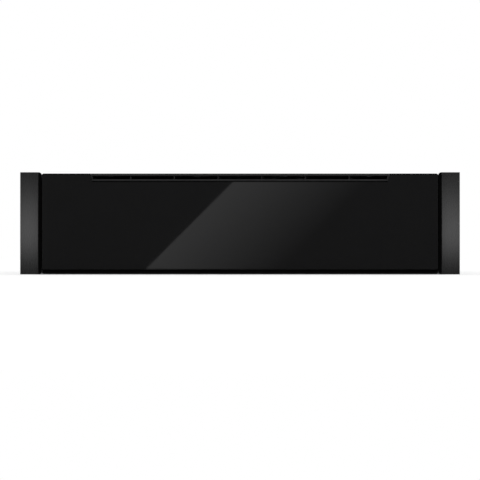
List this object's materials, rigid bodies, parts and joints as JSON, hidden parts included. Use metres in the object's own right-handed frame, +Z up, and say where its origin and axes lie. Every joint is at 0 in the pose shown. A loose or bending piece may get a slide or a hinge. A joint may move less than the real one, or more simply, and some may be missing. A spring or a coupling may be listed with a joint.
{
  "type": "built-in steam drawer",
  "caption": "Handleless built-in steam drawer with a black glass front, slotted vent, side trims, pull-out tub, water tank and steam generator.",
  "frame": {"origin": "middle of the base's front edge: on the shelf it stands on, in the cabinet's front plane", "axes": "+X to the right seen from the front, +Y to the back of the cabinet, +Z up"},
  "size_m": [0.596, 0.567, 0.1387],
  "materials": {
    "black_glass": "black enamelled back, polished",
    "anodised_black": "satin dark anodised",
    "black_plastic": "fine grain black",
    "galvanised_steel": "galvanised sheet",
    "zinc_plated": "bright zinc plate",
    "stainless": "brushed",
    "spring_steel": "rolled",
    "silicone_grey": "moulded",
    "hose_silicone": "extruded",
    "clear_plastic": "clear moulded",
    "grey_plastic": "moulded",
    "cast_aluminium": "as cast",
    "circuit_board": "solder resist"
  },
  "bodies": {
    "housing": {"housing_base": "galvanised_steel", "housing_top": "galvanised_steel", "housing_side_left": "galvanised_steel", "housing_side_right": "galvanised_steel", "housing_rear": "galvanised_steel", "bulkhead": "galvanised_steel", "housing_screws": "zinc_plated", "trim_carrier_left": "black_plastic", "trim_carrier_right": "black_plastic", "trim_strip_left": "anodised_black", "trim_strip_right": "anodised_black", "runner_outer_left": "zinc_plated", "runner_outer_right": "zinc_plated", "runner_spacers": "zinc_plated", "lid_rails": "galvanised_steel", "lid_springs": "spring_steel", "control_fascia": "black_plastic", "control_board": "circuit_board", "steam_generator": "cast_aluminium", "heating_element": "stainless", "steam_nozzle": "stainless", "tank_coupling": "black_plastic", "water_pump": "black_plastic", "water_hoses": "hose_silicone", "power_board": "circuit_board", "terminal_block": "grey_plastic", "cable_gland": "black_plastic", "fan_frame": "black_plastic", "push_latch": "black_plastic"},
    "drawer": {"front_glass": "black_glass", "front_carrier": "black_plastic", "front_liner": "stainless", "vent_grille": "black_plastic", "drawer_side_left": "stainless", "drawer_side_right": "stainless", "drawer_back": "stainless", "drawer_deck": "stainless", "drawer_screws": "zinc_plated", "steam_tub": "stainless", "port_seal": "silicone_grey", "tray_frame": "stainless", "tray_floor": "stainless", "water_tank": "clear_plastic", "tank_lid": "grey_plastic", "runner_inner_left": "zinc_plated", "runner_inner_right": "zinc_plated"},
    "runner_middle": {"runner_middle_left": "zinc_plated", "runner_middle_right": "zinc_plated"},
    "ball_cage_outer": {"ball_cage_outer": "zinc_plated"},
    "ball_cage_inner": {"ball_cage_inner": "zinc_plated"},
    "lid": {"steam_lid": "stainless", "lid_seal": "silicone_grey", "lid_bolts": "zinc_plated"},
    "fan_rotor": {"fan_rotor": "black_plastic"},
    "timer_knob": {"timer_knob": "stainless"},
    "power_button": {"power_button": "black_plastic"},
    "start_button": {"start_button": "black_plastic"},
    "tank_cap": {"tank_cap": "grey_plastic"},
    "tank_valve": {"tank_valve": "grey_plastic"},
    "latch_plunger": {"latch_plunger": "grey_plastic"}
  },
  "joints": [
    {"name": "drawer_slide", "type": "slide", "parent": "housing", "child": "drawer", "axis": [0, -1, 0], "range_m": [-0.003, 0.4]},
    {"name": "runner_middle_slide", "type": "slide", "parent": "housing", "child": "runner_middle", "axis": [0, -1, 0], "range_m": [-0.0015, 0.2]},
    {"name": "ball_cage_outer_slide", "type": "slide", "parent": "housing", "child": "ball_cage_outer", "axis": [0, -1, 0], "range_m": [-0.00075, 0.1]},
    {"name": "ball_cage_inner_slide", "type": "slide", "parent": "housing", "child": "ball_cage_inner", "axis": [0, -1, 0], "range_m": [-0.00225, 0.3]},
    {"name": "lid_float", "type": "slide", "parent": "housing", "child": "lid", "axis": [0, 0, 1], "range_m": [0, 0.003], "stiffness_N_per_m": 2000, "springref_m": -0.004, "deforming": ["lid_springs"]},
    {"name": "fan_spin", "type": "hinge", "parent": "housing", "child": "fan_rotor", "pos_m": [-0.18, 0.51, 0.068], "axis": [0, 1, 0], "continuous": true},
    {"name": "timer_knob_turn", "type": "hinge", "parent": "housing", "child": "timer_knob", "pos_m": [0.15, 0.006, 0.1165], "axis": [0, 1, 0], "range_deg": [0, 300]},
    {"name": "power_button_press", "type": "slide", "parent": "housing", "child": "power_button", "axis": [0, 1, 0], "range_m": [0, 0.0015], "stiffness_N_per_m": 400, "springref_m": -0.002},
    {"name": "start_button_press", "type": "slide", "parent": "housing", "child": "start_button", "axis": [0, 1, 0], "range_m": [0, 0.0015], "stiffness_N_per_m": 400, "springref_m": -0.002},
    {"name": "tank_cap_turn", "type": "hinge", "parent": "drawer", "child": "tank_cap", "pos_m": [0.213, 0.106, 0.104], "axis": [0, 0, 1], "range_deg": [0, 90]},
    {"name": "tank_valve_lift", "type": "slide", "parent": "drawer", "child": "tank_valve", "axis": [0, -1, 0], "range_m": [0, 0.004], "stiffness_N_per_m": 300, "springref_m": -0.003},
    {"name": "latch_press", "type": "slide", "parent": "housing", "child": "latch_plunger", "axis": [0, 1, 0], "range_m": [0, 0.006], "stiffness_N_per_m": 300, "springref_m": -0.005}
  ],
  "couplings": [
    {"joint": "runner_middle_slide", "follows": "drawer_slide", "ratio": 0.5},
    {"joint": "ball_cage_outer_slide", "follows": "drawer_slide", "ratio": 0.25},
    {"joint": "ball_cage_inner_slide", "follows": "drawer_slide", "ratio": 0.75}
  ]
}
